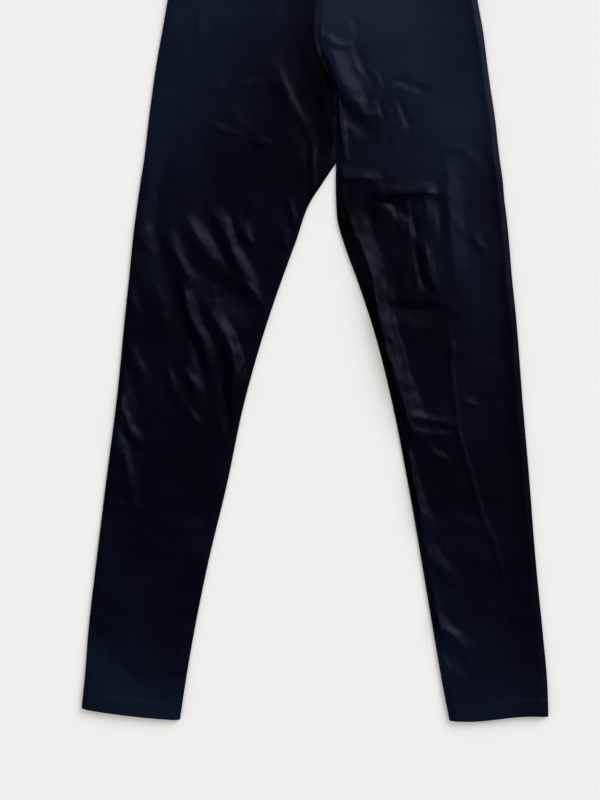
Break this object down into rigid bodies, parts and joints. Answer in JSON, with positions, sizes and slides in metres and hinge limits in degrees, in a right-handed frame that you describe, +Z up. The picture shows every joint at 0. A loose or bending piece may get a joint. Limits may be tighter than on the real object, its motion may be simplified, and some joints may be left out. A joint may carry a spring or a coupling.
{
  "type": "leggings",
  "caption": "Plain full-length stretch leggings laid flat with the front up, with softly creased legs, turned-up hems and a plain waistband.",
  "frame": {"origin": "middle of the laid-out garment's bounding box, on the surface it lies on", "axes": "+Z up out of the front of the garment, +Y along the legs towards the waist, +X towards the wearer's left leg"},
  "size_m": [0.5686, 0.9446, 0.0083],
  "materials": {
    "jersey": "matt navy-black stretch jersey with a faint bluish sheen",
    "waistband": "matt navy-black stretch jersey, doubled and slightly gathered"
  },
  "bodies": {
    "root": {"right_leg": "jersey", "left_leg": "jersey", "waistband": "waistband"}
  },
  "joints": []
}
